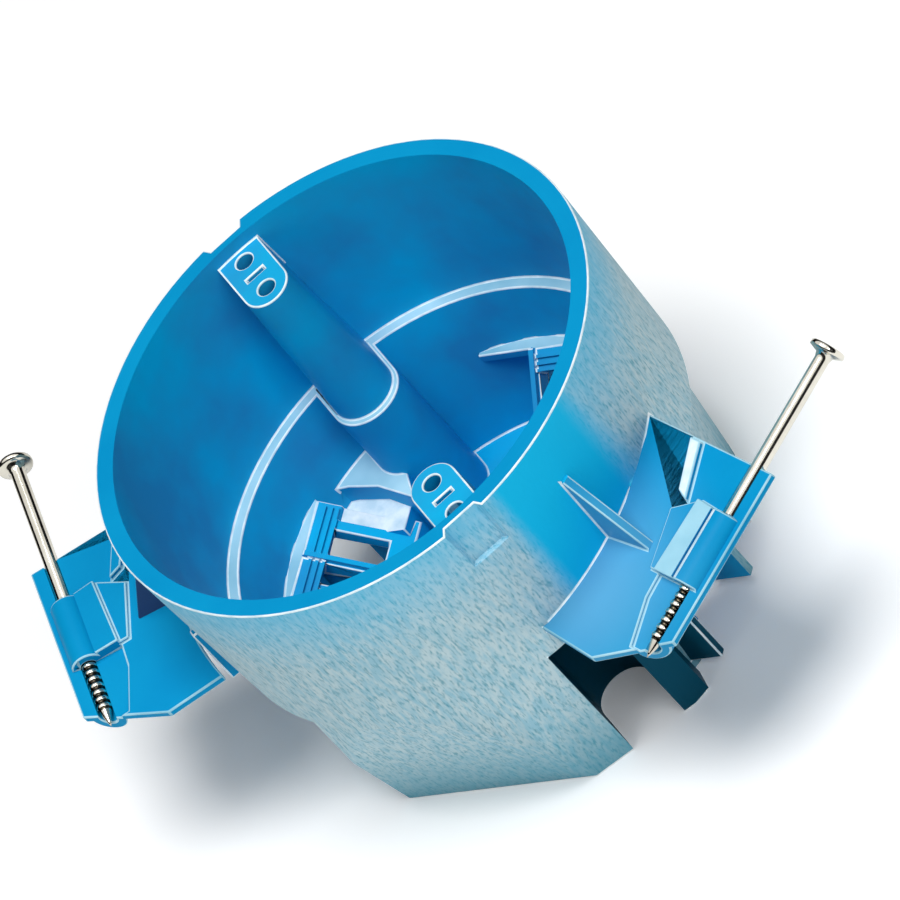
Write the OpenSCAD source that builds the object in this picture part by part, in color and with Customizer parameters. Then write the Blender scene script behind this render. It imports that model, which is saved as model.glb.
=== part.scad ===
/* [Upper cup] */
// Height of the whole box, base plane to rim
box_h = 72; // [60:0.5:90]
// Outer radius at the rim
rim_outer_r = 51.25; // [45:0.05:60]
// Width of the flat rim face
rim_w = 3.65; // [2.5:0.05:5]
// Height of the outside step above the base plane
step_z = 32; // [20:0.5:45]
// Outer radius just above the outside step
step_outer_r = 49.3; // [44:0.05:58]
// Height of the inside ledge above the base plane
ledge_z = 34.7; // [22:0.1:48]
// Outer radius of the inside ledge
ledge_outer_r = 46.4; // [40:0.05:52]

/* [Lower cup] */
// Outer radius just below the outside step
low_top_r = 46.6; // [40:0.05:52]
// Outer radius at the base plane
low_base_r = 43.2; // [36:0.05:50]
// Inner radius just below the inside ledge
low_inner_top_r = 44.1; // [38:0.05:50]
// Inner radius at the floor
low_inner_base_r = 39.9; // [34:0.05:47]
// Thickness of the floor
floor_t = 2.5; // [1.5:0.1:5]

/* [Joist side pad] */
// Half width of the flat pad
pad_half_w = 18; // [10:0.5:24]
// Distance of the flat pad from the axis at the base plane
pad_base_y = 41.9; // [38:0.1:46]
// Distance of the flat pad from the axis at the outside step
pad_top_y = 48.9; // [44:0.1:52]
// Distance from the axis of the outer end of the wing
wing_end_y = 37.4; // [32:0.1:42]
// Sideways place of the outer end of the wing
wing_end_x = 28.4; // [22:0.1:36]
// Thickness of the wing
wing_t = 2.4; // [1.5:0.1:4]

/* [Screw ears] */
// Direction of the near ear seen from above, in degrees
ear_angle = -45; // [-60:1:-30]
// Depth of the ear faces below the rim
ear_drop = 2.8; // [1:0.1:6]
// Half width of an ear at its face
ear_half_w = 4.7; // [3.5:0.1:7]
// Half width of an ear column at the ledge
column_half_w = 6.2; // [4:0.1:9]
// Distance of the round end centre of an ear from the axis
ear_centre_r = 35.5; // [33:0.1:38]
// Half width of the column below the ledge
foot_half_w = 7.1; // [5:0.1:10]
// Distance from the axis to the inner screw hole
hole_inner_r = 34.925; // [34:0.005:36]
// Distance from the axis to the outer screw hole
hole_outer_r = 44.45; // [43:0.005:45.5]
// Diameter of the screw holes
hole_d = 3.5; // [2.5:0.1:4.5]
// Depth of the screw holes
hole_depth = 18; // [8:0.5:28]
// Length of the narrow slot between the holes
slot_len = 4; // [2:0.1:6]
// Width of the narrow slot
slot_w = 1; // [0.6:0.1:2]
// Depth of the narrow slot
slot_depth = 2.4; // [1:0.1:5]
// Depth of the outside notch behind each ear
notch_depth = 1.9; // [1:0.1:2.6]
// Half width of the channel in the outer wall below each ear
channel_half_w = 5.7; // [4:0.1:6.5]
// Height of the hollow inside an ear column above the base plane
hollow_top_z = 52.5; // [36:0.5:56]
// Half width of the outside notch
notch_half_w = 4.4; // [3:0.1:6]
// Height of the outside notch
notch_h = 10.5; // [6:0.5:16]

/* [Cable entries] */
// Half width of a cable entry hood
hood_half_w = 12; // [8:0.1:13]
// Distance of the upper hood edge from the axis
hood_out_r = 39.9; // [36:0.1:42]
// Height of the upper hood edge above the base plane
hood_top_z = 21.5; // [16:0.5:28]
// Distance of the inner hood face from the axis
hood_in_r = 23.5; // [18:0.5:28]
// Height of the inner hood edge above the base plane
hood_low_z = 11; // [7:0.5:14]
// Wall thickness of a hood
hood_t = 1.8; // [1.2:0.1:3]
// Width of one cable slot in the hood roof
cable_slot_w = 4.2; // [2:0.1:4.5]
// Width of the bar between two cable slots
cable_bar_w = 1.3; // [0.8:0.1:2.5]
// Height of the fine ribs on the hood roof
grip_h = 0.5; // [0.3:0.1:1]

/* [Side brackets] */
// Splay of the nails seen from above, in degrees
splay = 29.4; // [10:0.1:45]
// Rise of the nails towards the heads, in degrees
rise = 9.8; // [0:0.1:20]
// Sideways place of a nail tip
tip_x = 57.6; // [52:0.1:64]
// Distance of a nail tip from the axis towards the joist
tip_y = 46.5; // [40:0.1:50]
// Height of a nail tip above the base plane
tip_z = 39.3; // [30:0.1:50]
// Thickness of the bracket plate
plate_t = 1.5; // [1.2:0.1:3]
// Height of the plate top above the nail axis
plate_up = 0.7; // [0.2:0.1:1]
// Distance of the outer plate edge from the nail axis
plate_out = 4.3; // [3.8:0.1:8]
// Length of the plate along the nail
plate_len = 38.8; // [32:0.1:44]
// Distance of the joist side plate edge from the axis
joist_y = 44.9; // [43:0.1:50]
// Outer radius of the nail guide tube
tube_r = 3.2; // [2.6:0.1:3.7]
// Start of the closed guide tube along the nail
tube_start = 14.3; // [10:0.1:18]
// End of the closed guide tube along the nail
tube_end = 28.7; // [24:0.1:32]
// Height of the bracket gusset on the wall above the plate
gusset_h = 18; // [10:0.5:24]
// Width of the bracket gusset on the plate
gusset_w = 9.5; // [5:0.5:13]
// Thickness of the ribs and fins
rib_t = 1.8; // [1.2:0.1:3]
// Reach of the lower fins from the axis
fin_reach = 44.9; // [44:0.1:50]
// Reach of the foremost lower fin from the axis
fin_one_reach = 46.7; // [44:0.1:50]
// Height of the lower ends of the fins above the base plane
fin_z = 2; // [0:0.5:10]

/* [Nails] */
// Length of a nail
nail_len = 63.5; // [50:0.5:76]
// Diameter of a nail shank
shank_d = 2.87; // [2.4:0.01:3.3]
// Radial clearance between shank and guide tube
nail_clear = 0.02; // [0.01:0.01:0.1]
// Diameter of a nail head
head_d = 6.8; // [5.5:0.1:8.5]
// Thickness of a nail head
head_t = 1.3; // [0.8:0.1:2]
// Length of the nail point
point_len = 3.4; // [2:0.1:6]
// Length of the ringed part above the point
ring_len = 24; // [10:0.5:32]
// Spacing of the nail rings
ring_pitch = 1.6; // [1.2:0.1:3]
// Depth of the grooves between the rings
ring_depth = 0.22; // [0.1:0.01:0.4]

/* [Hidden] */
$fn = 96;
round_n = 192;
hole_n = 48;
nail_n = 64;
over = 1;
half = 0.5;
full_turn = 360;
right_angle = 90;
rim_inner_r = rim_outer_r - rim_w;
ear_top_z = box_h - ear_drop;
foot_centre_r = ear_centre_r - half;
hole_r = hole_d / 2;
shank_r = shank_d / 2;
bore_r = shank_r + nail_clear;
ring_count = floor(ring_len / ring_pitch);
wall_mid_r = (rim_inner_r + step_outer_r) / 2;
low_mid_base_r = (low_base_r + low_inner_base_r) / 2;
low_mid_top_r = (low_top_r + low_inner_top_r) / 2;
low_mid_far_r = low_mid_base_r + box_h * (low_top_r - low_base_r) / step_z;
hood_slope_h = hood_top_z - hood_low_z;
hood_slope_l = hood_out_r - hood_in_r;
hood_slope_a = atan(hood_slope_h / hood_slope_l);
hood_roof_l = hood_slope_l / cos(hood_slope_a);
entry_half_w = hood_half_w - hood_t;
entry_back_r = hood_in_r + hood_t;
grip_pitch = 1.3;
grip_w = 0.6;
grip_count = 3;
grip_room = grip_count * grip_pitch + half;
cable_slot_l = hood_roof_l - grip_room - 2 * hood_t - over;
thin = 0.1;
pad_tilt = atan((pad_top_y - pad_base_y) / step_z);
rib_h = 1.2;
fin_one_y = 2.6;
fin_two_y = 19.7;
fin_three_a = 36.3;
fin_three_r = 49.1;
fin_in = 38;
short_fin_a = 42.5;
short_fin_r = 51.4;
short_fin_low = 34;
short_fin_top = 48;
gap_r = 52.2;
gap_a = 27;
wing_start_x = pad_half_w + 4.4;
wing_tilt = 4.9;
fin_depth = 9;
block_top_z = 18.6;
hollow_half_w = 3.5;
channel_top_z = step_z + 0.6;
gusset_a = 24.4;
chamfer_x = 45.5;
chamfer_in = 20;
chamfer_y = 28.5;
cheek_h = 2.4;
cheek_low_h = 1.5;
cheek_in = -tube_r + half;
cheek_top = [[-7, 29], [cheek_in, tube_end], [cheek_in, tube_start], [-7.6, tube_start]];
cheek_low = [[-12.6, 25.5], [-7, 29], [cheek_in, tube_end], [cheek_in, tube_start], [-9.4, tube_start]];
slant_out = plate_len - half;
slant_rib = [[-17, slant_out], [-14.2, slant_out], [-10, 27.8], [-12.8, 28.9]];
pocket_pts = [[-7.4, tube_start], [-7.2, 9.5], [-4.3, half], [0, half], [0, tube_start]];
block_in = [[36.3, -16.4], [29.5, -15.6], [20.4, -11.9], [24, -18.5], [35, -29]];
block_pts = concat([[low_top_r, -15.5]], block_in, [[low_top_r, -24]]);
pocket_depth = 0.8;
step_block_z = 14;
step_room_z = 12.2;
step_in_v = 8.4;
step_out_v = 18.8;
step_in_u = 30;
step_open_u = 36;
side_recess_v = 8.6;
recess_u = 29.5;
recess_z = 18.2;

// Places a child in the frame of a nail, its own y axis along the nail.
module nail_frame()
{
    translate([tip_x, -tip_y, tip_z])
    rotate([rise, 0, -splay])
    children();
}

// Repeats a child on the left side.
module both_sides()
{
    children();
    mirror([1, 0, 0])
    children();
}

// Outer volume of the two cup sections.
module cup_outer()
{
    translate([0, 0, step_z])
    cylinder(h = box_h - step_z, r1 = step_outer_r, r2 = rim_outer_r, $fn = round_n);
    cylinder(h = step_z + over, r1 = low_base_r, r2 = low_top_r, $fn = round_n);
}

// Inner volume of the two cup sections.
module cup_inner()
{
    translate([0, 0, ledge_z])
    cylinder(h = box_h - ledge_z, r1 = ledge_outer_r, r2 = rim_inner_r, $fn = round_n);
    translate([0, 0, box_h - thin])
    cylinder(h = over, r = rim_inner_r, $fn = round_n);
    translate([0, 0, floor_t])
    cylinder(h = ledge_z - floor_t + thin, r1 = low_inner_base_r, r2 = low_inner_top_r, $fn = round_n);
}

// Room in front of the slanted plane of the joist side pad.
module pad_room()
{
    translate([0, -pad_base_y, 0])
    rotate([pad_tilt, 0, 0])
    translate([-pad_half_w, -step_outer_r, -box_h])
    cube([2 * pad_half_w, step_outer_r, 2 * box_h]);
}

// Flat pad that faces the joist, cut from a round wall by a slanted plane.
module pad()
{
    intersection()
    {
        cylinder(h = step_z + half, r = step_outer_r, $fn = round_n);
        translate([-pad_half_w, -step_outer_r - over, 0])
        cube([2 * pad_half_w, step_outer_r, step_z + half]);
        translate([0, -pad_base_y, 0])
        rotate([pad_tilt, 0, 0])
        translate([-step_outer_r, 0, -box_h])
        cube([2 * step_outer_r, step_outer_r, 2 * box_h]);
    }
}

// Slanted wall wing that ends the pad on its right, in front of the ear channel.
module wing()
{
    run_x = wing_end_x - wing_start_x;
    run_y = pad_base_y - wing_end_y;
    depth = wing_t + low_top_r - low_base_r;
    intersection()
    {
        cylinder(h = step_z + half, r = step_outer_r, $fn = round_n);
        translate([pad_half_w - half, -step_outer_r, 0])
        cube([step_outer_r, step_outer_r, step_z + half]);
        translate([0, -pad_base_y, 0])
        rotate([pad_tilt, 0, 0])
        translate([0, 0, -box_h])
        cube([step_outer_r, step_outer_r, 2 * box_h]);
        translate([wing_end_x, -wing_end_y, 0])
        rotate([0, 0, atan2(run_y, run_x)])
        rotate([wing_tilt, 0, 0])
        translate([-pad_half_w, 0, -box_h])
        cube([2 * pad_half_w, depth, 2 * box_h]);
    }
}

// Side outline of an ear column, wider at the ledge than at the ear face.
module column_profile(z_low, z_high, w_low, w_high)
{
    polygon([[-w_low, z_low], [w_low, z_low], [w_high, z_high], [-w_high, z_high]]);
}

// Solid column under one ear, along the x axis.
module column()
{
    span = step_outer_r - ear_centre_r;
    intersection()
    {
        union()
        {
            translate([ear_centre_r, 0, ledge_z])
            cylinder(h = ear_top_z - ledge_z, r1 = column_half_w, r2 = ear_half_w);
            translate([ear_centre_r, 0, 0])
            rotate([right_angle, 0, right_angle])
            linear_extrude(height = span)
            column_profile(ledge_z, ear_top_z, column_half_w, ear_half_w);
            translate([foot_centre_r, 0, floor_t / 2])
            cylinder(h = ledge_z - floor_t / 2, r = foot_half_w);
            translate([foot_centre_r, -foot_half_w, floor_t / 2])
            cube([span, 2 * foot_half_w, ledge_z - floor_t / 2]);
        }
        union()
        {
            translate([0, 0, ledge_z])
            cylinder(h = box_h, r = wall_mid_r, $fn = round_n);
            cylinder(h = ledge_z + half, r1 = low_mid_base_r, r2 = low_mid_top_r, $fn = round_n);
        }
    }
}

// Screw holes and the narrow slot of one ear.
module ear_holes()
{
    for (r = [hole_inner_r, hole_outer_r])
    translate([r, 0, ear_top_z - hole_depth])
    cylinder(h = hole_depth + over, r = hole_r, $fn = hole_n);
    translate([(hole_inner_r + hole_outer_r - slot_w) / 2, -slot_len / 2, ear_top_z - slot_depth])
    cube([slot_w, slot_len, slot_depth + over]);
}

// Notch in the outer wall behind one ear.
module notch()
{
    r_in = rim_outer_r - notch_depth;
    translate([0, 0, box_h - notch_h])
    linear_extrude(height = notch_h + over)
    polygon([[r_in, -notch_half_w + over], [r_in, notch_half_w - over],
        [rim_outer_r + over, notch_half_w + half], [rim_outer_r + over, -notch_half_w - half]]);
}

// Side outline of a hood with its roof and inner face.
module hood_profile(grow)
{
    polygon([[hood_in_r + grow, 0], [hood_in_r + grow, hood_low_z - grow],
        [hood_out_r + grow / 2, hood_top_z - grow], [low_top_r + grow * 3, hood_top_z - grow],
        [low_top_r + grow * 3, 0]]);
}

// Hood over one cable entry, inside the cup, along the x axis, up to a given side place.
module hood_body(side_end)
{
    intersection()
    {
        translate([0, side_end, 0])
        rotate([right_angle, 0, 0])
        linear_extrude(height = side_end + hood_half_w)
        hood_profile(0);
        cylinder(h = box_h, r1 = low_mid_base_r, r2 = low_mid_far_r, $fn = round_n);
        translate([0, -hood_half_w, floor_t / 2])
        cube([low_top_r, 2 * hood_half_w, box_h]);
    }
}

// Thin shelf on the wall that carries on the upper edge of a half hood.
module hood_shelf()
{
    intersection()
    {
        translate([hood_out_r, -half, hood_top_z - hood_t])
        cube([low_top_r - hood_out_r, hood_half_w + half, hood_t]);
        cylinder(h = box_h, r1 = low_mid_base_r, r2 = low_mid_far_r, $fn = round_n);
    }
}

// Corner opening of one cable entry below its hood, up to a given side place.
module entry_cut(side_end)
{
    translate([0, side_end, 0])
    rotate([right_angle, 0, 0])
    linear_extrude(height = side_end + entry_half_w)
    polygon([[entry_back_r, -over], [entry_back_r, hood_low_z - hood_t],
        [hood_out_r, hood_top_z - hood_t * 2], [low_top_r, hood_top_z - hood_t * 2],
        [low_top_r, -over]]);
}

// Places a child on the hood roof, x running down the roof from the upper edge.
module roof_frame()
{
    translate([hood_out_r, 0, hood_top_z])
    rotate([0, -hood_slope_a, 0])
    rotate([0, 0, 2 * right_angle])
    children();
}

// Cable slots through the hood roof, one wide slot on side 1 and two narrow ones on side -1.
module roof_cuts(sides)
{
    pitch = cable_slot_w + cable_bar_w;
    roof_frame()
    for (side = sides)
    for (row = side > 0 ? [0] : [0, 1])
    translate([grip_room, side > 0 ? over : -over - cable_slot_w - row * pitch, -2 * hood_t])
    cube([cable_slot_l, side > 0 ? pitch : cable_slot_w, 3 * hood_t]);
}

// Shallow recess in the side of a hood roof, down to the raised step.
module side_recess()
{
    translate([0, -side_recess_v, 0])
    rotate([right_angle, 0, 0])
    linear_extrude(height = hood_half_w - side_recess_v + thin)
    polygon([[hood_in_r - over, step_block_z], [recess_u, step_block_z], [step_open_u, recess_z],
        [step_open_u, hood_top_z], [hood_in_r - over, hood_top_z]]);
}

// Fine grip ribs and the middle rib on the hood roof.
module roof_ribs(sides)
{
    roof_frame()
    {
        for (side = sides)
        for (i = [1 : grip_count])
        translate([i * grip_pitch, side * half * (hood_half_w - over) - half * (hood_half_w - over), -half])
        cube([grip_w, hood_half_w - over, grip_h + half]);
        translate([0, -half * over, -half])
        cube([hood_roof_l - half, over, over + half]);
    }
}

// Bracket plate, guide tube, ribs and channel of the right side.
module bracket()
{
    difference()
    {
        union()
        {
            intersection()
            {
                nail_frame()
                translate([-2 * step_outer_r + plate_out, -box_h / 2, plate_up - plate_t])
                cube([2 * step_outer_r, box_h / 2 + plate_len, plate_t]);
                bracket_outline();
            }
            intersection()
            {
                nail_frame()
                rotate([-right_angle, 0, 0])
                translate([0, 0, -tube_r])
                cylinder(h = plate_len + tube_r, r = tube_r);
                bracket_outline();
                tube_room();
            }
            intersection()
            {
                cheek();
                bracket_outline();
            }
            long_rib();
            gusset();
        }
        nail_frame()
        {
            rotate([-right_angle, 0, 0])
            translate([0, 0, -nail_len / 2])
            cylinder(h = 2 * nail_len, r = bore_r);
            translate([-bore_r, -nail_len / 2, 0])
            cube([2 * bore_r, nail_len / 2 + tube_start, 2 * tube_r]);
            translate([-bore_r, tube_end, 0])
            cube([2 * bore_r, nail_len, 2 * tube_r]);
        }
        plate_pocket();
        translate([0, 0, ledge_z])
        cylinder(h = box_h, r = wall_mid_r, $fn = round_n);
    }
}

// Narrow gap between the wall and the joist end of the left bracket plate.
module wall_gap()
{
    intersection()
    {
        cylinder(h = box_h, r = gap_r, $fn = round_n);
        rotate([0, 0, -gap_a])
        translate([0, -box_h, 0])
        cube(box_h);
    }
}

// Upright prism that bounds a bracket towards the joist.
module bracket_outline()
{
    linear_extrude(height = 2 * box_h)
    polygon([[chamfer_in, rim_outer_r], [chamfer_in, -chamfer_y], [chamfer_x, -joist_y],
        [2 * tip_x, -joist_y], [2 * tip_x, rim_outer_r]]);
}

// Room that keeps the tube low where the nail shows from above.
module tube_room()
{
    nail_frame()
    {
        translate([-2 * tube_r, -box_h, -2 * tube_r])
        cube([4 * tube_r, 2 * box_h, 2 * tube_r + plate_up]);
        translate([-2 * tube_r, tube_start, -2 * tube_r])
        cube([4 * tube_r, tube_end - tube_start, 4 * tube_r]);
    }
}

// Stepped cheek beside the guide tube.
module cheek()
{
    nail_frame()
    {
        linear_extrude(height = cheek_h)
        polygon(cheek_top);
        linear_extrude(height = cheek_low_h)
        polygon(cheek_low);
    }
}

// Slanted low rib on the bracket plate.
module long_rib()
{
    nail_frame()
    linear_extrude(height = plate_up + rib_h)
    polygon(slant_rib);
}

// Shallow pocket beside the open nail channel.
module plate_pocket()
{
    nail_frame()
    translate([0, 0, plate_up - pocket_depth])
    linear_extrude(height = pocket_depth + over)
    polygon(pocket_pts);
}

// Upright three-cornered rib between wall and bracket plate.
module gusset()
{
    plate_z = tip_z + 3 * over;
    rotate([0, 0, -gusset_a])
    translate([0, rib_t / 2, plate_z])
    rotate([right_angle, 0, 0])
    linear_extrude(height = rib_t)
    polygon([[wall_mid_r, 0], [rim_outer_r + gusset_w, 0], [rim_outer_r + gusset_w, over],
        [rim_outer_r, gusset_h], [wall_mid_r, gusset_h]]);
}

// Foremost fin below a bracket, from the cable entry up to the outside step.
module fin_one()
{
    translate([0, -fin_one_y + rib_t / 2, 0])
    rotate([right_angle, 0, 0])
    linear_extrude(height = rib_t)
    polygon([[fin_in, fin_z], [fin_one_reach, fin_z], [fin_one_reach, step_z + over],
        [low_mid_top_r, step_z + over], [low_mid_base_r + fin_z, hood_top_z], [fin_in, hood_top_z - hood_t]]);
}

// Middle fin below a bracket.
module fin_two()
{
    translate([fin_reach - fin_depth, -fin_two_y - rib_t / 2, fin_z])
    cube([fin_depth, rib_t, tip_z - over - fin_z]);
}

// Rearmost fin on the wall, with its direction, reach, lower and upper end.
module fin_three(turn, reach, low_z, high_z)
{
    rotate([0, 0, -turn])
    translate([low_base_r - over, -rib_t / 2, low_z])
    cube([reach - low_base_r + over, rib_t, high_z - low_z]);
}

// Upright divider in the middle of one cable entry.
module divider()
{
    intersection()
    {
        translate([0, rib_t / 2, 0])
        rotate([right_angle, 0, 0])
        linear_extrude(height = rib_t)
        hood_profile(half / 2);
        translate([0, -rib_t, fin_z])
        cube([low_base_r - half, 2 * rib_t, box_h]);
    }
}

// Channel in the outer wall below one ear, with the hollow inside the column.
module channel()
{
    translate([0, 0, -over])
    {
        translate([foot_centre_r, 0, 0])
        cylinder(h = channel_top_z + over, r = channel_half_w);
        translate([foot_centre_r, -channel_half_w, 0])
        cube([rim_outer_r, 2 * channel_half_w, channel_top_z + over]);
        translate([foot_centre_r + half, 0, 0])
        cylinder(h = hollow_top_z + over, r = hollow_half_w);
        translate([foot_centre_r + half, -hollow_half_w, 0])
        cube([ear_centre_r / 4 + half, 2 * hollow_half_w, hollow_top_z + over]);
    }
}

// Raised block beside one hood, between hood and column.
module hood_block()
{
    intersection()
    {
        linear_extrude(height = block_top_z)
        polygon(block_pts);
        cylinder(h = box_h, r1 = low_mid_base_r, r2 = low_mid_far_r, $fn = round_n);
        translate([0, -low_top_r, floor_t / 2])
        cube([low_top_r, low_top_r, box_h]);
    }
}

// Raised step beside one hood, above the side part of the cable entry.
module step_block()
{
    intersection()
    {
        translate([hood_in_r + over, -step_out_v - 2 * hood_t, floor_t / 2])
        cube([low_top_r, step_out_v + 2 * hood_t - step_in_v, step_block_z - floor_t / 2]);
        cylinder(h = box_h, r1 = low_mid_base_r, r2 = low_mid_far_r, $fn = round_n);
    }
}

// Side part of the cable entry, open to the outside below the raised step.
module step_cut()
{
    translate([step_in_u, -step_out_v, -over])
    cube([low_base_r - step_in_u + over, step_out_v - hood_half_w, step_room_z + over]);
    translate([step_open_u, -step_out_v, -over])
    cube([low_base_r - step_open_u + over, step_out_v, step_room_z + over]);
}

// The whole blue moulding.
module box()
{
    color([0.05, 0.56, 0.82])
    {
        for (a = [0, right_angle, 2 * right_angle])
        rotate([0, 0, a])
        divider();
        both_sides()
        fin_one();
        body();
    }
}

// The moulding without the entry dividers.
module body()
{
    difference()
    {
        union()
        {
            difference()
            {
                union()
                {
                    difference()
                    {
                        cup_outer();
                        intersection()
                        {
                            pad_room();
                            translate([0, 0, -over])
                            cylinder(h = step_z + over, r = box_h);
                        }
                    }
                    pad();
                    wing();
                    both_sides()
                    fin_two();
                    fin_three(fin_three_a, fin_three_r, fin_z, tip_z - 3 * over);
                    mirror([1, 0, 0])
                    fin_three(short_fin_a, short_fin_r, short_fin_low, short_fin_top);
                    bracket();
                    mirror([1, 0, 0])
                    difference()
                    {
                        bracket();
                        wall_gap();
                    }
                }
                cup_inner();
            }
            for (a = [ear_angle, ear_angle + full_turn / 2])
            rotate([0, 0, a])
            column();
            for (a = [0, right_angle, 2 * right_angle])
            rotate([0, 0, a])
            {
                hood_body(a == right_angle ? rib_t / 2 : hood_half_w);
                hood_block();
                step_block();
                roof_ribs(a == right_angle ? [1] : [-1, 1]);
            }
            rotate([0, 0, right_angle])
            hood_shelf();
        }
        for (a = [ear_angle, ear_angle + full_turn / 2])
        rotate([0, 0, a])
        {
            ear_holes();
            notch();
            channel();
        }
        for (a = [0, right_angle, 2 * right_angle])
        rotate([0, 0, a])
        {
            entry_cut(a == right_angle ? 0 : entry_half_w);
            step_cut();
            roof_cuts(a == right_angle ? [1] : [-1, 1]);
            side_recess();
        }
    }
}

// One nail, its tip at the origin and its own y axis along the shank.
module nail()
{
    groove_r = shank_r - ring_depth;
    color([0.72, 0.72, 0.70])
    nail_frame()
    rotate([-right_angle, 0, 0])
    rotate_extrude($fn = nail_n)
    polygon(concat(
        [[0, 0], [groove_r, point_len]],
        [for (i = [0 : ring_count - 1]) for (k = [0, 1])
            [k == 0 ? groove_r : shank_r, point_len + (i + (k + half) / 2) * ring_pitch + half * k]],
        [[shank_r, point_len + ring_count * ring_pitch + over], [shank_r, nail_len - 2 * head_t],
        [head_d / 2, nail_len - head_t], [head_d / 2, nail_len], [0, nail_len]]));
}

box();
mirror([1, 0, 0]) nail();  // nail_left
nail();  // nail_right
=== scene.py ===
"""Dresses a round ceiling box: its satin moulding, its two bright nails and a pale studio."""

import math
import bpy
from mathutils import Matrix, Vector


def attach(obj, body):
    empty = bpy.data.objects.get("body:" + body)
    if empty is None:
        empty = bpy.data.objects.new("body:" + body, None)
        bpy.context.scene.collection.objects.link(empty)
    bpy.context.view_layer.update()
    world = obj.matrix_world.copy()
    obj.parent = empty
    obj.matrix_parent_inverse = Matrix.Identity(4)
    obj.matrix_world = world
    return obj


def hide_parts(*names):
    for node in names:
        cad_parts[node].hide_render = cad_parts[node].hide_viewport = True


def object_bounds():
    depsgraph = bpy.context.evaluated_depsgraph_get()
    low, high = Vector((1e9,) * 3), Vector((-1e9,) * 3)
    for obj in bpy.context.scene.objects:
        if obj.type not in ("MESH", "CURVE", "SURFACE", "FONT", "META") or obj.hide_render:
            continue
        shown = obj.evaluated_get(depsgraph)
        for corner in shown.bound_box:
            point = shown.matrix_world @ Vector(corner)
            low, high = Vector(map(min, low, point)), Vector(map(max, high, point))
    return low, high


bl_info = {
    "name": "Round Ceiling Box",
    "version": (1, 0, 0),
    "blender": (4, 5, 0),
    "location": "View3D > Sidebar > Ceiling Box",
    "description": "Finishes a moulded ceiling box with two captive nails and sets it in a pale studio",
    "category": "Object",
}

import bmesh
import bpy
from bpy.props import FloatProperty, FloatVectorProperty, IntProperty, PointerProperty
from mathutils import Matrix, Vector
from mathutils.bvhtree import BVHTree

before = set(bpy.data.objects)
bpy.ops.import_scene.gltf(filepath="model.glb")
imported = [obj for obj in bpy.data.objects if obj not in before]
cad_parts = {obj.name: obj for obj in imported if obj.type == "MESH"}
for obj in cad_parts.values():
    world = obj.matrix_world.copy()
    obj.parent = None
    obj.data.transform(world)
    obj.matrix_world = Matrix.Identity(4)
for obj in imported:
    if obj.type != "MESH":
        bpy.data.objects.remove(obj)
CAD_LOW, CAD_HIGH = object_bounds()
BODY = "root"
MM = 0.001
UP = Vector((0, 0, 1))


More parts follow.
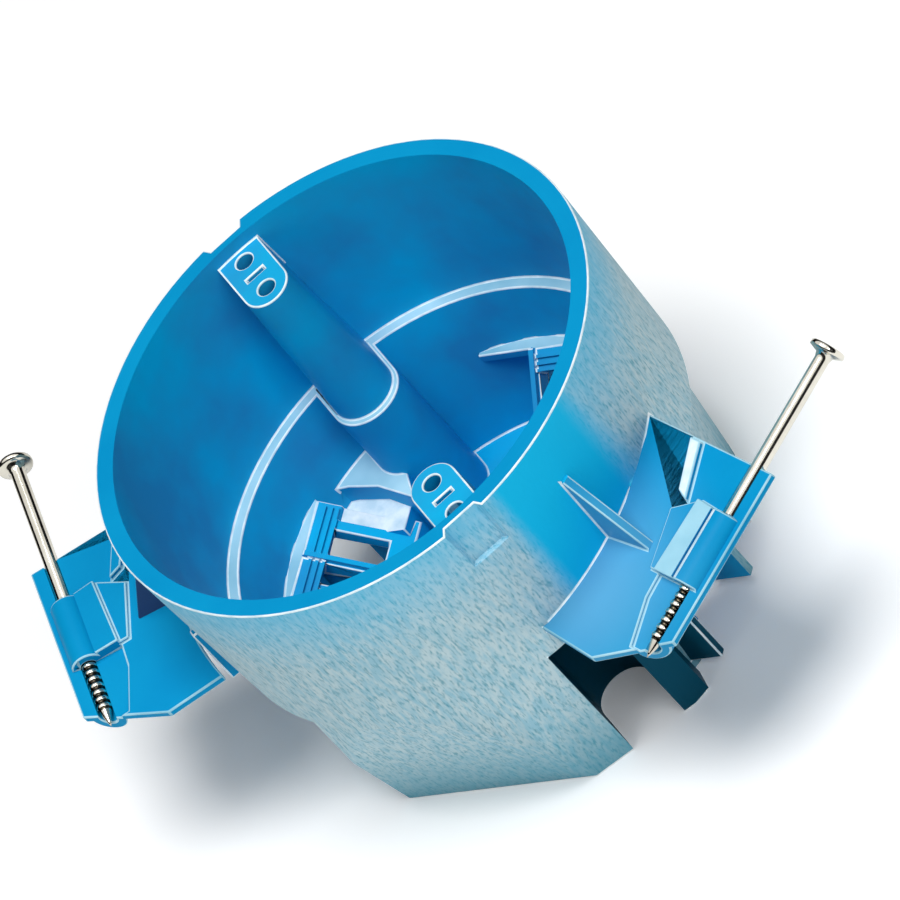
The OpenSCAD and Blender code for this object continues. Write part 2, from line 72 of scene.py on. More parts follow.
class MouldingSettings(bpy.types.PropertyGroup):
    """Sizes and colours of the blue moulding."""

    edge_round: FloatProperty(
        name="Edge round", description="Width of the small round on every moulded edge",
        default=0.3 * MM, min=0.05 * MM, max=0.5 * MM, unit="LENGTH", precision=5)
    edge_segments: IntProperty(
        name="Edge segments", description="Faces across the round of an edge", default=2, min=1, max=4)
    crease_angle: FloatProperty(
        name="Crease angle", description="Smallest angle between two faces that counts as an edge",
        default=math.radians(28), min=math.radians(5), max=math.radians(80), subtype="ANGLE")
    wall_radius: FloatProperty(
        name="Wall radius", description="Distance from the axis past which a face belongs to the outside wall",
        default=41.3 * MM, unit="LENGTH", precision=5)
    inner_radius: FloatProperty(
        name="Inner radius", description="Distance from the axis up to which a face belongs to the inside",
        default=47.4 * MM, unit="LENGTH", precision=5)
    channel_centre: FloatProperty(
        name="Channel centre", description="Distance from the axis to the round middle of the channel below an ear",
        default=35 * MM, unit="LENGTH", precision=5)
    channel_half: FloatProperty(
        name="Channel half width", description="Half width of the channel below an ear", default=6.2 * MM,
        unit="LENGTH", precision=5)
    blue: FloatVectorProperty(
        name="Blue", description="Colour of the smooth moulding", default=(0.002, 0.295, 0.58),
        min=0, max=1, subtype="COLOR")
    deep_blue: FloatVectorProperty(
        name="Deep blue", description="Colour of the smooth moulding in its darker clouds",
        default=(0.001, 0.26, 0.54), min=0, max=1, subtype="COLOR")
    # painted light: the inside walls get a lighter copy of the moulding blue
    inner_blue: FloatVectorProperty(
        name="Inner blue", description="Colour of the inside walls", default=(0.002, 0.46, 0.80),
        min=0, max=1, subtype="COLOR")
    inner_deep: FloatVectorProperty(
        name="Deep inner blue", description="Colour of the inside walls in their darker clouds",
        default=(0.02, 0.30, 0.60), min=0, max=1, subtype="COLOR")
    # painted light: a lighter copy of the moulding blue, shown where the painted sheen is left off the outside
    outer_blue: FloatVectorProperty(
        name="Outer blue", description="Colour of the smooth part of the outside", default=(0.002, 0.52, 0.86),
        min=0, max=1, subtype="COLOR")
    # painted sheen: the pale haze stands for lamp light reflected by the eroded outside, laid over its real streaks and
    # specks
    painted_sheen: FloatVectorProperty(
        name="Haze", description="Pale colour of the spark-eroded outside", default=(0.38, 0.59, 0.67),
        min=0, max=1, subtype="COLOR")
    faded: FloatVectorProperty(
        name="Faded blue", description="Bluer clouds of the outside and of the rubbed edges", default=(0.22, 0.50, 0.64),
        min=0, max=1, subtype="COLOR")
    bloom: FloatVectorProperty(
        name="Bloom", description="Palest streaks of the outside", default=(0.58, 0.70, 0.72),
        min=0, max=1, subtype="COLOR")
    # real dark specks, and also the painted shade towards the floor
    speck_and_shade: FloatVectorProperty(
        name="Speck", description="Colour of the dark specks of the outside", default=(0.05, 0.28, 0.38),
        min=0, max=1, subtype="COLOR")
    # painted shade: this dark blue stands for the shadow on the fins, their ends and the channels below the ears
    painted_shade: FloatVectorProperty(
        name="Shaded blue", description="Dull colour of the fins and of the channels below the ears",
        default=(0.003, 0.07, 0.12), min=0, max=1, subtype="COLOR")
    # painted shade: this dark violet stands for the shadow in the recess beside the left bracket
    recess: FloatVectorProperty(
        name="Recess blue", description="Dark violet blue of the recess beside the left bracket",
        default=(0.035, 0.08, 0.20), min=0, max=1, subtype="COLOR")
    # painted light: this pale blue stands for light on the upward faces inside, on the cheek beside the right nail, on
    # the outermost rounded edges and in the highlight on the right bracket
    ledge: FloatVectorProperty(
        name="Ledge", description="Pale blue of the inside ledge and of the raised block", default=(0.46, 0.74, 0.85),
        min=0, max=1, subtype="COLOR")
    # painted highlight: the pale patch on the joist end of the right bracket
    painted_sheen_centre: FloatVectorProperty(
        name="Haze centre", description="Middle of the pale haze on the right bracket",
        default=(44 * MM, -30 * MM, 40 * MM), unit="LENGTH", precision=5)
    painted_sheen_reach: FloatProperty(
        name="Haze reach", description="How far the haze on the right bracket reaches", default=30 * MM, unit="LENGTH",
        precision=5)
    # painted highlight: this pale colour stands in for the light caught on rounded edges, on the low block and hood
    # roof inside, and beside the right nail
    rubbed: FloatVectorProperty(
        name="Highlight edge", description="Pale colour of rubbed edges and of the ledge",
        default=(0.86, 0.95, 0.98), min=0, max=1, subtype="COLOR")


class NailSettings(bpy.types.PropertyGroup):
    """Sizes and colours of the two captive nails."""

    length: FloatProperty(
        name="Length", description="Length of a nail from tip to head", default=63.5 * MM, unit="LENGTH", precision=5)
    shank_radius: FloatProperty(
        name="Shank radius", description="Radius of the plain shank", default=1.435 * MM, unit="LENGTH", precision=5)
    head_radius: FloatProperty(
        name="Head radius", description="Radius of the head", default=3.4 * MM, unit="LENGTH", precision=5)
    head_thickness: FloatProperty(
        name="Head thickness", description="Thickness of the head", default=1.3 * MM, unit="LENGTH", precision=5)
    point_length: FloatProperty(
        name="Point length", description="Length of the point", default=3.4 * MM, unit="LENGTH", precision=5)
    ring_pitch: FloatProperty(
        name="Ring pitch", description="Spacing of the rings", default=1.6 * MM, unit="LENGTH", precision=5)
    ring_count: IntProperty(name="Rings", description="Number of rings above the point", default=15, min=1, max=30)
    ring_depth: FloatProperty(
        name="Ring depth", description="Depth of the grooves", default=0.3 * MM, unit="LENGTH", precision=5)
    tip: FloatVectorProperty(
        name="Tip", description="Place of the right nail's tip", default=(57.6 * MM, -46.5 * MM, 39.3 * MM),
        unit="LENGTH", precision=5)
    splay: FloatProperty(
        name="Splay", description="Turn of a nail outwards, seen from above", default=math.radians(29.4),
        subtype="ANGLE")
    rise: FloatProperty(
        name="Rise", description="Slope of a nail up to its head", default=math.radians(9.8), subtype="ANGLE")
    steel: FloatVectorProperty(
        name="Steel", description="Colour of the bright steel", default=(0.80, 0.77, 0.68), min=0, max=1,
        subtype="COLOR")
    # painted shade: the steel in the grooves is near black to stand for their shadow
    groove: FloatVectorProperty(
        name="Groove", description="Dark colour of the steel in the grooves", default=(0.03, 0.025, 0.02), min=0, max=1,
        subtype="COLOR")
    tarnish: FloatVectorProperty(
        name="Tarnish", description="Colour of the tarnish in the grooves", default=(0.20, 0.17, 0.10), min=0, max=1,
        subtype="COLOR")


class StudioSettings(bpy.types.PropertyGroup):
    """Camera, lamps and floor."""

    azimuth: FloatProperty(
        name="Azimuth", description="Direction of the camera round the box", default=math.radians(46.64),
        subtype="ANGLE")
    elevation: FloatProperty(
        name="Elevation", description="Height of the camera over the floor", default=math.radians(41.289),
        subtype="ANGLE")
    roll: FloatProperty(
        name="Roll", description="Turn of the camera about its line of sight", default=math.radians(42.921),
        subtype="ANGLE")
    distance: FloatProperty(
        name="Distance", description="Distance of the camera from its aim", default=2.2483, unit="LENGTH")
    aim: FloatVectorProperty(
        name="Aim", description="Point in the middle of the picture", default=(-0.7 * MM, 7.95 * MM, 36 * MM),
        unit="LENGTH", precision=5)
    lens: FloatProperty(name="Lens", description="Focal length in millimetres", default=498.96, min=20, max=2000)
    sensor: FloatProperty(name="Sensor", description="Width of the sensor in millimetres", default=36, min=10, max=60)
    floor_size: FloatProperty(
        name="Floor size", description="Width of the floor", default=4, min=1, max=20, unit="LENGTH")
    floor_colour: FloatVectorProperty(
        name="Floor colour", description="Colour of the floor", default=(1, 1, 1), min=0, max=1,
        subtype="COLOR")
    floor_gap: FloatProperty(
        name="Floor gap", description="How far the floor lies below the closed end", default=0.05 * MM, unit="LENGTH",
        precision=5)
    floor_lift: FloatProperty(
        name="Floor lift", description="How much whiter the floor shows to the camera", default=0.1, min=0, max=1)
    card_radius: FloatProperty(
        name="Card radius", description="Distance of the dark card from the box", default=1.2, min=0.5, max=1.9,
        unit="LENGTH")
    card_height: FloatProperty(
        name="Card height", description="Height of the dark card", default=0.95, min=0.1, max=2, unit="LENGTH")
    ambient: FloatProperty(name="Ambient", description="Strength of the even light all round", default=0.06, min=0, max=2)
    key_power: FloatProperty(name="Key lamp", description="Power of the key lamp in watts", default=5, min=0, max=100)
    top_power: FloatProperty(name="Top lamp", description="Power of the top lamp in watts", default=17.5, min=0, max=100)
    side_power: FloatProperty(name="Side lamp", description="Power of the side lamp in watts", default=3, min=0, max=100)


def in_studio(bm, name, material_list):
    """Makes an object of a finished bmesh, in place, with its materials."""
    mesh = bpy.data.meshes.new(name)
    bm.to_mesh(mesh)
    bm.free()
    for material in material_list:
        mesh.materials.append(material)
    piece = bpy.data.objects.new(name, mesh)
    bpy.context.scene.collection.objects.link(piece)
    return piece


def mark_sharp(bm, angle):
    """Smooths every face and keeps the edges sharper than an angle crisp."""
    for face in bm.faces:
        face.smooth = True
    for edge in bm.edges:
        edge.smooth = len(edge.link_faces) == 2 and edge.calc_face_angle() < angle


def even_normals(piece):
    """Lets large faces stay flat beside small rounded ones."""
    modifier = piece.modifiers.new("even normals", "WEIGHTED_NORMAL")
    modifier.mode = "FACE_AREA"
    modifier.weight = 80
    modifier.keep_sharp = True


def new_material(name, roughness, metallic=0.0):
    """An empty Principled material with its uniform values on the shader itself."""
    material = bpy.data.materials.new(name)
    material.use_nodes = True
    shader = material.node_tree.nodes["Principled BSDF"]
    shader.inputs["Roughness"].default_value = roughness
    shader.inputs["Metallic"].default_value = metallic
    return material, material.node_tree, shader


def node(tree, kind, **values):
    """A shader node with some of its properties set."""
    made = tree.nodes.new(kind)
    for key, value in values.items():
        setattr(made, key, value)
    return made


def mix_colours(tree, factor, first, second):
    """Mixes two colours, given as sockets or as values, by a socket or a number."""
    mixer = node(tree, "ShaderNodeMix", data_type="RGBA")
    for socket, value in ((mixer.inputs[0], factor), (mixer.inputs[6], first), (mixer.inputs[7], second)):
        if isinstance(value, bpy.types.NodeSocket):
            tree.links.new(value, socket)
        elif isinstance(value, float):
            socket.default_value = value
        else:
            socket.default_value = (*value, 1)
    return mixer.outputs[2]


def grain_group():
    """Node group of a stretched grain: a soft cloud, fine specks and a height, all from a place."""
    name = "Stretched grain"
    if name in bpy.data.node_groups:
        return bpy.data.node_groups[name]
    tree = bpy.data.node_groups.new(name, "ShaderNodeTree")
    face = tree.interface
    face.new_socket("Vector", in_out="INPUT", socket_type="NodeSocketVector")
    for label, value in (("Grain", 900.0), ("Stretch", 0.35), ("Cloud", 60.0)):
        socket = face.new_socket(label, in_out="INPUT", socket_type="NodeSocketFloat")
        socket.default_value = value
    for label in ("Cloud", "Specks", "Streaks", "Height"):
        face.new_socket(label, in_out="OUTPUT", socket_type="NodeSocketFloat")
    entry = node(tree, "NodeGroupInput")
    leave = node(tree, "NodeGroupOutput")
    squeeze = node(tree, "ShaderNodeCombineXYZ")
    squeeze.inputs[0].default_value = 1
    squeeze.inputs[1].default_value = 1
    tree.links.new(entry.outputs["Stretch"], squeeze.inputs[2])
    place = node(tree, "ShaderNodeVectorMath", operation="MULTIPLY")
    tree.links.new(entry.outputs["Vector"], place.inputs[0])
    tree.links.new(squeeze.outputs[0], place.inputs[1])

    def noise(scale_socket, factor, detail, low, high):
        scale = node(tree, "ShaderNodeMath", operation="MULTIPLY")
        tree.links.new(scale_socket, scale.inputs[0])
        scale.inputs[1].default_value = factor
        texture = node(tree, "ShaderNodeTexNoise")
        tree.links.new(place.outputs[0], texture.inputs["Vector"])
        tree.links.new(scale.outputs[0], texture.inputs["Scale"])
        texture.inputs["Detail"].default_value = detail
        spread = node(tree, "ShaderNodeMapRange")
        spread.inputs["From Min"].default_value = low
        spread.inputs["From Max"].default_value = high
        tree.links.new(texture.outputs["Fac"], spread.inputs["Value"])
        return spread.outputs["Result"]

    tree.links.new(noise(entry.outputs["Cloud"], 1.0, 4.0, 0.35, 0.65), leave.inputs["Cloud"])
    tree.links.new(noise(entry.outputs["Grain"], 1.0, 2.0, 0.50, 0.72), leave.inputs["Specks"])
    tree.links.new(noise(entry.outputs["Grain"], 0.45, 3.0, 0.38, 0.62), leave.inputs["Streaks"])
    tree.links.new(noise(entry.outputs["Grain"], 0.8, 2.0, 0.0, 1.0), leave.inputs["Height"])
    return tree


def add_grain(tree, grain, stretch, cloud):
    """Places the grain group in a material, on Object coordinates."""
    place = node(tree, "ShaderNodeTexCoord")
    group = node(tree, "ShaderNodeGroup", node_tree=grain_group())
    tree.links.new(place.outputs["Object"], group.inputs["Vector"])
    for label, value in (("Grain", grain), ("Stretch", stretch), ("Cloud", cloud)):
        group.inputs[label].default_value = value
    return group


def add_bump(tree, shader, height, strength, distance):
    """Raises a surface by a height socket."""
    bump = node(tree, "ShaderNodeBump")
    bump.inputs["Strength"].default_value = strength
    bump.inputs["Distance"].default_value = distance
    tree.links.new(height, bump.inputs["Height"])
    tree.links.new(bump.outputs["Normal"], shader.inputs["Normal"])


def plain_moulding(name, first, second):
    """Satin plastic with soft clouds of two near blues."""
    material, tree, shader = new_material(name, 0.42)
    shader.inputs["Specular IOR Level"].default_value = 0.05
    grain = add_grain(tree, 1400.0, 1.0, 45.0)
    colour = mix_colours(tree, grain.outputs["Cloud"], first, second)
    tree.links.new(colour, shader.inputs["Base Color"])
    add_bump(tree, shader, grain.outputs["Height"], 0.2, 0.03 * MM)
    return material, tree, shader


def smooth_moulding(settings):
    """Satin blue of brackets, ears and rim, with a painted highlight on the joist end of the right bracket."""
    material, tree, shader = plain_moulding("smooth_moulding", settings.blue, settings.deep_blue)
    plain = shader.inputs["Base Color"].links[0].from_socket
    # painted highlight: up to 0.22 of the pale ledge blue near the joist end of the right bracket
    place = node(tree, "ShaderNodeTexCoord")
    reach = node(tree, "ShaderNodeVectorMath", operation="DISTANCE")
    reach.inputs[1].default_value = settings.painted_sheen_centre
    tree.links.new(place.outputs["Object"], reach.inputs[0])
    fade = node(tree, "ShaderNodeMapRange", interpolation_type="SMOOTHSTEP")
    fade.inputs["From Min"].default_value = settings.painted_sheen_reach
    fade.inputs["From Max"].default_value = 0
    fade.inputs["To Max"].default_value = 0.22
    tree.links.new(reach.outputs["Value"], fade.inputs["Value"])
    highlighted = mix_colours(tree, fade.outputs["Result"], plain, settings.ledge)
    tree.links.new(highlighted, shader.inputs["Base Color"])
    return material


def sheen_free_share(tree, place):
    """How much of the outside wall shows plain blue without the painted sheen: one beside the near ear and at the rim,
    nil elsewhere.
    """
    apart = node(tree, "ShaderNodeSeparateXYZ")
    tree.links.new(place, apart.inputs[0])
    angle = node(tree, "ShaderNodeMath", operation="ARCTAN2")
    tree.links.new(apart.outputs["Y"], angle.inputs[0])
    tree.links.new(apart.outputs["X"], angle.inputs[1])
    factors = []
    for socket, low, high in ((angle.outputs[0], -0.74, -0.62), (angle.outputs[0], -0.08, -0.28),
                              (apart.outputs["Z"], 31 * MM, 33 * MM)):
        step = node(tree, "ShaderNodeMapRange", interpolation_type="SMOOTHSTEP")
        step.inputs["From Min"].default_value = low
        step.inputs["From Max"].default_value = high
        tree.links.new(socket, step.inputs["Value"])
        factors.append(step.outputs["Result"])
    rim = node(tree, "ShaderNodeMapRange", interpolation_type="SMOOTHSTEP")
    rim.inputs["From Min"].default_value = 50 * MM
    rim.inputs["From Max"].default_value = 76 * MM
    rim.inputs["To Max"].default_value = 0.6
    tree.links.new(apart.outputs["Z"], rim.inputs["Value"])
    result = factors[0]
    for other in factors[1:]:
        times = node(tree, "ShaderNodeMath", operation="MULTIPLY")
        tree.links.new(result, times.inputs[0])
        tree.links.new(other, times.inputs[1])
        result = times.outputs[0]
    most = node(tree, "ShaderNodeMath", operation="MAXIMUM")
    tree.links.new(result, most.inputs[0])
    tree.links.new(rim.outputs["Result"], most.inputs[1])
    return most.outputs[0]


def eroded_sheen_outside(settings):
    """Finely streaked finish of the outside walls: pale from a painted sheen, plain blue where the sheen is left off,
    darker towards the floor as painted shade.
    """
    material, tree, shader = new_material("eroded_sheen_outside", 0.6)
    shader.inputs["Specular IOR Level"].default_value = 0.12
    grain = add_grain(tree, 2400.0, 0.24, 60.0)
    tone = settings.painted_sheen
    for output, share, colour in (("Cloud", 0.45, settings.faded), ("Streaks", 0.7, settings.bloom),
                                  ("Specks", 0.7, settings.speck_and_shade)):
        weak = node(tree, "ShaderNodeMath", operation="MULTIPLY")
        tree.links.new(grain.outputs[output], weak.inputs[0])
        weak.inputs[1].default_value = share
        tone = mix_colours(tree, weak.outputs[0], tone, colour)
    place = node(tree, "ShaderNodeTexCoord")
    apart = node(tree, "ShaderNodeSeparateXYZ")
    tree.links.new(place.outputs["Object"], apart.inputs[0])
    # painted shade: the outside wall darkens towards the floor
    low = node(tree, "ShaderNodeMapRange", interpolation_type="SMOOTHSTEP")
    low.inputs["From Min"].default_value = 26 * MM
    low.inputs["From Max"].default_value = -4 * MM
    low.inputs["To Max"].default_value = 0.75
    tree.links.new(apart.outputs["Z"], low.inputs["Value"])
    tone = mix_colours(tree, low.outputs["Result"], tone, settings.speck_and_shade)
    # plain blue where the painted sheen is left off, beside the near ear and at the rim
    tone = mix_colours(tree, sheen_free_share(tree, place.outputs["Object"]), tone, settings.outer_blue)
    tree.links.new(tone, shader.inputs["Base Color"])
    add_bump(tree, shader, grain.outputs["Height"], 0.5, 0.1 * MM)
    return material


def highlight_edge(settings):
    """Pale painted highlight on edges and on the ledge."""
    material, tree, shader = new_material("highlight_edge", 0.35)
    grain = add_grain(tree, 1600.0, 1.0, 300.0)
    weak = node(tree, "ShaderNodeMath", operation="MULTIPLY")
    tree.links.new(grain.outputs["Cloud"], weak.inputs[0])
    weak.inputs[1].default_value = 0.45
    colour = mix_colours(tree, weak.outputs[0], settings.rubbed, settings.faded)
    tree.links.new(colour, shader.inputs["Base Color"])
    return material


def drawn_steel(name, colour_of, settings):
    """Drawn wire with faint clouds of tarnish."""
    material, tree, shader = new_material(name, 0.12, metallic=1.0)
    grain = add_grain(tree, 900.0, 1.0, 160.0)
    weak = node(tree, "ShaderNodeMath", operation="MULTIPLY")
    tree.links.new(grain.outputs["Cloud"], weak.inputs[0])
    weak.inputs[1].default_value = 0.3
    colour = mix_colours(tree, weak.outputs[0], colour_of, settings.tarnish)
    tree.links.new(colour, shader.inputs["Base Color"])
    add_bump(tree, shader, grain.outputs["Height"], 0.08, 0.03 * MM)
    return material


def pale_floor(settings):
    """White floor that keeps the shadow and shows as background to the camera."""
    material, tree, shader = new_material("pale_floor", 0.8)
    shader.inputs["Base Color"].default_value = (*settings.floor_colour, 1)
    shader.inputs["Specular IOR Level"].default_value = 0.1
    path = node(tree, "ShaderNodeLightPath")
    tree.links.new(path.outputs["Is Camera Ray"], shader.inputs["Emission Color"])
    shader.inputs["Emission Strength"].default_value = settings.floor_lift
    return material


def dark_card(settings):
    """Matt black of the card that only reflections see."""
    material, tree, shader = new_material("dark_card", 0.9)
    shader.inputs["Base Color"].default_value = (0.01, 0.01, 0.012, 1)
    shader.inputs["Specular IOR Level"].default_value = 0
    return material


# of these finishes, the pale and highlight ones are painted light, the two darkest ones painted shade, and the inside
# one a lighter copy of the blue
FINISHES = ("smooth", "outside", "rubbed", "inside", "painted_shade", "pale", "recess")


def hood_place(point):
    """Place of a point in the frame of the nearest of the three hoods."""
    if abs(point.x) > abs(point.y):
        side = math.copysign(1, point.x)
        return point.x * side, point.y * side
    return point.y, -point.x


def highlight_by_nail(centre, normal, to_nail):
    """Finish of the painted highlights on the tube, the cheek and the slanted rib beside a nail, or nothing."""
    place = to_nail @ centre
    facing = to_nail.to_3x3() @ normal
    across, along, high = (value / MM for value in place)
    tube = 14 < along < 29 and 2.9 < math.hypot(across, high) < 3.4 and high > 0 and -0.6 < facing.x < -0.3
    cheek = facing.z > 0.9 and high > 2.2 and -8 < across < -2.6 and 14 < along < 29.2
    rib = facing.z > 0.9 and 1.7 < high < 2.1 and -17.3 < across < -9.7 and along > 27.5
    return "rubbed" if tube or rib else "pale" if cheek else None


def face_finish(face, settings, to_nail):
    """Which finish a face of the moulding has, from its place and direction."""
    count = len(face.verts)
    centre = sum((vert.co for vert in face.verts), Vector()) / count
    normal = face.normal
    radius = sum(math.hypot(vert.co.x, vert.co.y) for vert in face.verts) / count
    outward = (normal.x * centre.x + normal.y * centre.y) / max(math.hypot(centre.x, centre.y), MM)
    within = radius < settings.inner_radius and centre.z > 2.2 * MM
    along, aside = hood_place(centre)
    # painted light: upward faces inside are pale on the ledge and white on the low block and the hood roof
    if within and normal.z > 0.9 and 12 * MM < centre.z < 36 * MM:
        return "pale" if centre.z > 16 * MM else "rubbed"
    if within and normal.z > 0.8 and 29 * MM < along < 36.3 * MM and -12.2 * MM < aside < -8.5 * MM:
        return "rubbed"
    fin = radius > 47 * MM and centre.z < 30 * MM and centre.y > -36 * MM
    short_fin = radius > 50.7 * MM and centre.z < 60 * MM
    notch = radius > 48.3 * MM and 60 * MM < centre.z < 71.9 * MM and outward > -0.5
    if notch or (outward > 0.8 and settings.wall_radius < radius < 51.6 * MM and not fin and not short_fin):
        return "outside"
    # painted shade in the recess beside the left bracket
    beside_left = -57 * MM < centre.x < -46 * MM and centre.z > 45 * MM and normal.y < -0.8
    if beside_left:
        return "recess"
    # painted shade on the ends of the fins
    if 47 * MM < radius < 51 * MM and outward > 0.8 and centre.z < 30 * MM:
        return "painted_shade"
    if normal.z < -0.3:
        return "smooth"
    # painted shade on the sides of the fins
    if centre.z < 37 * MM and radius > 43.5 * MM and abs(outward) < 0.5:
        return "painted_shade"
    # painted shade in the channels below the ears
    across, reach = abs(centre.x + centre.y) / math.sqrt(2), abs(centre.x - centre.y) / math.sqrt(2)
    from_axis = math.hypot(max(settings.channel_centre - reach, 0), across)
    if from_axis < settings.channel_half and reach > settings.channel_centre / 2 and centre.z < 34 * MM and normal.z < 0.5:
        return "painted_shade"
    # the inside walls take the lighter copy of the blue, painted light
    if (within and outward < 0.5) or (outward < -0.5 and radius < 48 * MM):
        return "inside"
    # only the right bracket gets the painted highlights beside its nail; the left one stays plain
    if centre.x < 0:
        return "smooth"
    return highlight_by_nail(centre, normal, to_nail) or "smooth"


def keep_near(bm, tree, reach):
    """Sets vertices that stray from the CAD surface, or leave its box, back onto it."""
    for vert in bm.verts:
        spot, normal, index, distance = tree.find_nearest(vert.co)
        if distance > reach:
            vert.co = spot
        for axis in range(3):
            vert.co[axis] = min(max(vert.co[axis], CAD_LOW[axis]), CAD_HIGH[axis])


class BOX_OT_moulding(bpy.types.Operator):
    """Makes the blue moulding with rounded edges and its finishes"""

    bl_idname = "ceiling_box.moulding"
    bl_label = "Moulding"

    def is_crease(self, edge, settings):
        if len(edge.link_faces) != 2 or edge.calc_face_angle() < settings.crease_angle:
            return False
        if all(face.material_index == FINISHES.index("outside") for face in edge.link_faces):
            return False
        if any(face.material_index == FINISHES.index("recess") for face in edge.link_faces):
            return False
        middle = (edge.verts[0].co + edge.verts[1].co) / 2
        radius = math.hypot(middle.x, middle.y)
        if middle.y < -36 * MM and 5 * MM < middle.z < 40 * MM and radius < 52 * MM:
            return False
        if radius > 48.5 * MM and 60 * MM < middle.z < CAD_HIGH.z - 0.1 * MM:
            return False
        if 47 * MM < radius < 48.3 * MM and middle.z > CAD_HIGH.z - 0.3 * MM:
            return False
        length = max(edge.calc_length(), 0.01 * MM)
        upright = abs(edge.verts[0].co.z - edge.verts[1].co.z) > 0.8 * length
        if upright and length > 6 * MM and radius < 47 * MM:
            return False
        widths = 5.4 if radius < 46 * MM and middle.z < 22 * MM else 2.5
        return all(face.calc_area() / length > widths * settings.edge_round for face in edge.link_faces)

    def execute(self, context):
        settings = context.scene.ceiling_box_moulding
        bm = bmesh.new()
        bm.from_mesh(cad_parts["box"].data)
        bmesh.ops.remove_doubles(bm, verts=bm.verts, dist=0.002 * MM)
        bmesh.ops.dissolve_degenerate(bm, edges=bm.edges, dist=0.002 * MM)
        bmesh.ops.dissolve_limit(
            bm, angle_limit=math.radians(0.4), use_dissolve_boundaries=False, verts=bm.verts, edges=bm.edges)
        nails = context.scene.ceiling_box_nails
        to_nail = nail_place(nails, 1).inverted()
        for face in bm.faces:
            face.material_index = FINISHES.index(face_finish(face, settings, to_nail))
        surface = BVHTree.FromBMesh(bm)
        creases = [edge for edge in bm.edges if self.is_crease(edge, settings)]
        rounded = bmesh.ops.bevel(
            bm, geom=creases, offset=settings.edge_round, offset_type="OFFSET", profile_type="SUPERELLIPSE",
            segments=settings.edge_segments, profile=0.5, affect="EDGES", clamp_overlap=False, material=-1)
        # painted highlight: every rounded edge is pale beyond the wall and whiter elsewhere
        for face in rounded["faces"]:
            far_out = face.calc_center_median().xy.length > 51.5 * MM
            face.material_index = FINISHES.index("pale" if far_out else "rubbed")
        keep_near(bm, surface, 0.8 * settings.edge_round)
        mark_sharp(bm, math.radians(50))
        piece = in_studio(bm, "moulded_box", [
            smooth_moulding(settings), eroded_sheen_outside(settings), highlight_edge(settings),
            plain_moulding("inside_moulding", settings.inner_blue, settings.inner_deep)[0],
            plain_moulding("painted_shade_moulding", settings.painted_shade, settings.painted_shade)[0],
            plain_moulding("pale_ledge", settings.ledge, settings.faded)[0],
            plain_moulding("recess_moulding", settings.recess, settings.recess)[0]])
        even_normals(piece)
        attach(piece, BODY)
        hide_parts("box")
        return {"FINISHED"}


def nail_profile(settings):
    """Half outline of a nail along +Y, from the tip to the middle of the head."""
    groove = settings.shank_radius - settings.ring_depth
    points = [(0, 0), (groove * 0.35, settings.point_length * 0.3), (groove, settings.point_length)]
    for ring in range(settings.ring_count):
        start = settings.point_length + (ring + 0.2) * settings.ring_pitch
        for share, height in ((0, 0), (0.75, 0.12), (1, 0.3), (1, 0.42), (0.75, 0.6), (0, 0.72)):
            points.append((groove + share * settings.ring_depth, start + height * settings.ring_pitch))
    plain = settings.point_length + (settings.ring_count + 0.6) * settings.ring_pitch
    under = settings.length - settings.head_thickness
    points += [
        (settings.shank_radius, plain), (settings.shank_radius, under - 1.4 * MM),
        (settings.shank_radius + 0.25 * MM, under - 0.5 * MM), (settings.head_radius - 0.5 * MM, under),
        (settings.head_radius - 0.1 * MM, under + 0.15 * MM), (settings.head_radius, under + 0.5 * MM),
        (settings.head_radius - 0.12 * MM, settings.length - 0.2 * MM),
        (settings.head_radius - 0.5 * MM, settings.length), (0, settings.length)]
    return points


def nail_place(settings, side):
    """Matrix that sets a nail in its guide tube, on side 1 or -1."""
    turn = Matrix.Rotation(-settings.splay, 4, "Z") @ Matrix.Rotation(settings.rise, 4, "X")
    place = Matrix.Translation(settings.tip) @ turn
    return Matrix.Scale(side, 4, (1, 0, 0)) @ place


class BOX_OT_nails(bpy.types.Operator):
    """Turns the two ringed nails on their own axes"""

    bl_idname = "ceiling_box.nails"
    bl_label = "Nails"

    def execute(self, context):
        settings = context.scene.ceiling_box_nails
        steels = [drawn_steel("bright_steel", settings.steel, settings),
                  drawn_steel("groove_shade_steel", settings.groove, settings)]
        groove_radius = settings.shank_radius - 0.75 * settings.ring_depth
        last_ring = settings.point_length + (settings.ring_count + 0.5) * settings.ring_pitch
        for name, side in (("nail_right", 1), ("nail_left", -1)):
            bm = bmesh.new()
            line = [bm.verts.new((x, y, 0)) for x, y in nail_profile(settings)]
            edges = [bm.edges.new(pair) for pair in zip(line, line[1:])]
            bmesh.ops.spin(
                bm, geom=line + edges, cent=(0, 0, 0), axis=(0, 1, 0), dvec=(0, 0, 0), angle=2 * math.pi,
                steps=40, use_merge=True, use_duplicate=False)
            bmesh.ops.remove_doubles(bm, verts=bm.verts, dist=0.001 * MM)
            for face in bm.faces:
                reach = [math.hypot(vert.co.x, vert.co.z) for vert in face.verts]
                height = face.calc_center_median().y
                # faces in the ring grooves take the dark steel, painted shade
                if min(reach) < groove_radius and settings.point_length < height < last_ring:
                    face.material_index = 1
            bmesh.ops.transform(bm, matrix=nail_place(settings, side), verts=bm.verts)
            bmesh.ops.recalc_face_normals(bm, faces=bm.faces)
            mark_sharp(bm, math.radians(60))
            piece = in_studio(bm, "bright_" + name, steels)
            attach(piece, BODY)
            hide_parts(name)
        return {"FINISHED"}


def pointing(direction):
    """Rotation that turns a lamp to shine along a direction."""
    return direction.to_track_quat("-Z", "Y").to_matrix().to_4x4()


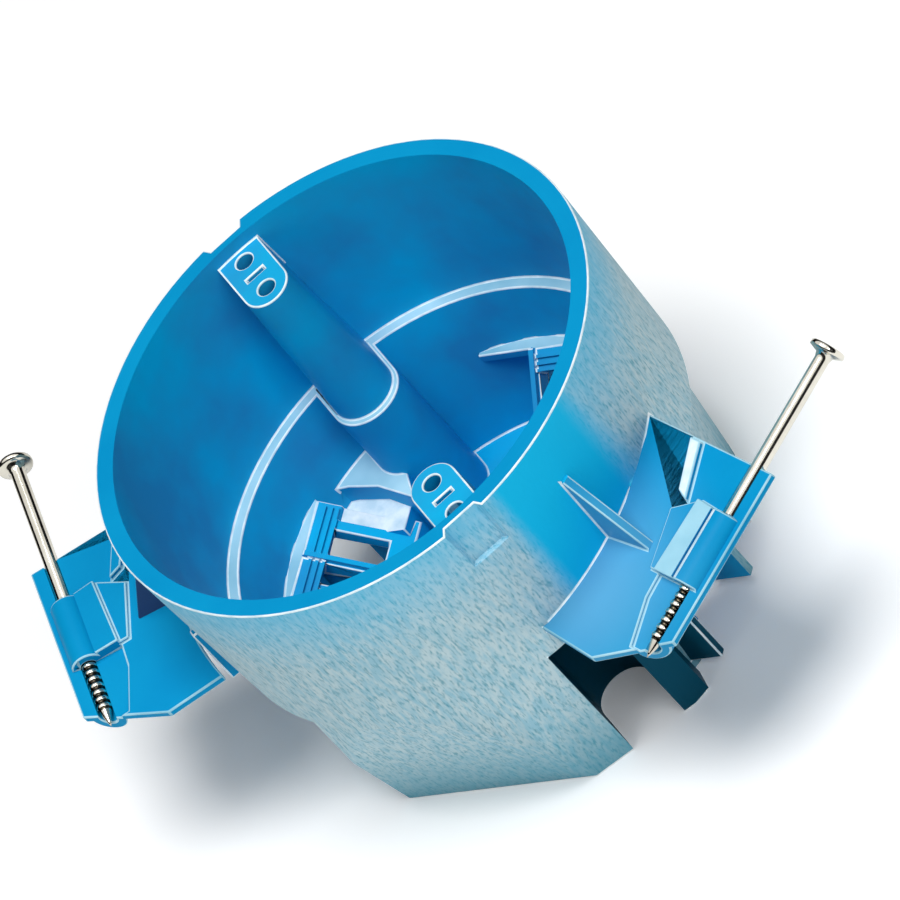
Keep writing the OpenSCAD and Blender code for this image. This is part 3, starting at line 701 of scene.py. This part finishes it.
class BOX_OT_studio(bpy.types.Operator):
    """Sets the floor, the lamps and the camera"""

    bl_idname = "ceiling_box.studio"
    bl_label = "Studio"

    def execute(self, context):
        settings = context.scene.ceiling_box_studio
        self.floor(settings)
        self.card(settings)
        self.world(context, settings)
        self.lamps(settings)
        self.camera(context, settings)
        context.scene.view_settings.view_transform = "Standard"
        return {"FINISHED"}

    def floor(self, settings):
        bm = bmesh.new()
        bmesh.ops.create_grid(bm, x_segments=1, y_segments=1, size=settings.floor_size / 2)
        bmesh.ops.translate(bm, verts=bm.verts, vec=(0, 0, CAD_LOW.z - settings.floor_gap))
        in_studio(bm, "floor", [pale_floor(settings)])

    def card(self, settings):
        bm = bmesh.new()
        bmesh.ops.create_cone(
            bm, cap_ends=False, segments=64, radius1=settings.card_radius, radius2=settings.card_radius,
            depth=settings.card_height)
        bmesh.ops.translate(bm, verts=bm.verts, vec=(0, 0, CAD_LOW.z + settings.card_height / 2 + MM))
        ring = in_studio(bm, "dark_card", [dark_card(settings)])
        ring.visible_camera = False
        ring.visible_diffuse = False
        ring.visible_shadow = False
        ring.visible_transmission = False

    def world(self, context, settings):
        world = bpy.data.worlds.new("pale room")
        context.scene.world = world
        world.use_nodes = True
        tree = world.node_tree
        shine = tree.nodes["Background"]
        path = node(tree, "ShaderNodeLightPath")
        direct = node(tree, "ShaderNodeMath", operation="MAXIMUM")
        tree.links.new(path.outputs["Is Camera Ray"], direct.inputs[0])
        tree.links.new(path.outputs["Is Glossy Ray"], direct.inputs[1])
        seen = node(tree, "ShaderNodeMath", operation="MAXIMUM")
        tree.links.new(direct.outputs[0], seen.inputs[0])
        tree.links.new(path.outputs["Is Transmission Ray"], seen.inputs[1])
        level = node(tree, "ShaderNodeMapRange")
        level.inputs["To Min"].default_value = settings.ambient
        level.inputs["To Max"].default_value = 1
        tree.links.new(seen.outputs[0], level.inputs["Value"])
        tree.links.new(level.outputs["Result"], shine.inputs["Strength"])
        shine.inputs["Color"].default_value = (1, 1, 1, 1)

    def lamps(self, settings):
        middle = Vector((0, 0, 36 * MM))
        for name, power, size, place in (
                ("key", settings.key_power, 0.6, Vector((1.05, -0.5, 0.9))),
                ("top", settings.top_power, 0.75, Vector((0.12, -0.1, 1.4))),
                ("side", settings.side_power, 0.8, Vector((-0.2, -1.4, 0.5)))):
            light = bpy.data.lights.new(name + " lamp", "AREA")
            light.energy = power
            light.size = size
            lamp = bpy.data.objects.new(name + " lamp", light)
            lamp.matrix_world = Matrix.Translation(place) @ pointing(middle - place)
            lamp.visible_camera = False
            bpy.context.scene.collection.objects.link(lamp)

    def camera(self, context, settings):
        around, above = settings.azimuth, settings.elevation
        back = Vector((math.sin(around) * math.cos(above), -math.cos(around) * math.cos(above), math.sin(above)))
        level_right = UP.cross(back).normalized()
        level_up = back.cross(level_right)
        up = level_up * math.cos(settings.roll) + level_right * math.sin(settings.roll)
        right = up.cross(back)
        turn = Matrix((right, up, back)).transposed().to_4x4()
        data = bpy.data.cameras.new("photo camera")
        data.lens = settings.lens
        data.sensor_width = settings.sensor
        data.clip_start = 0.1
        data.clip_end = 20
        camera = bpy.data.objects.new("photo camera", data)
        camera.matrix_world = Matrix.Translation(Vector(settings.aim) + back * settings.distance) @ turn
        context.scene.collection.objects.link(camera)
        context.scene.camera = camera


class BOX_PT_panel(bpy.types.Panel):
    """Lists the steps that dress the ceiling box"""

    bl_label = "Ceiling Box"
    bl_idname = "BOX_PT_panel"
    bl_space_type = "VIEW_3D"
    bl_region_type = "UI"
    bl_category = "Ceiling Box"

    def draw(self, context):
        for step in STEPS:
            self.layout.operator(step.bl_idname)


STEPS = (BOX_OT_studio, BOX_OT_moulding, BOX_OT_nails)
SETTINGS = {
    "ceiling_box_moulding": MouldingSettings,
    "ceiling_box_nails": NailSettings,
    "ceiling_box_studio": StudioSettings,
}


def register():
    for kind in (*SETTINGS.values(), *STEPS, BOX_PT_panel):
        bpy.utils.register_class(kind)
    for name, kind in SETTINGS.items():
        setattr(bpy.types.Scene, name, PointerProperty(type=kind))


def unregister():
    for name in SETTINGS:
        delattr(bpy.types.Scene, name)
    for kind in reversed((*SETTINGS.values(), *STEPS, BOX_PT_panel)):
        bpy.utils.unregister_class(kind)


def main():
    """Registers the add-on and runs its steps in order."""
    register()
    bpy.ops.ceiling_box.studio()
    bpy.ops.ceiling_box.moulding()
    bpy.ops.ceiling_box.nails()


if __name__ == "__main__":
    main()
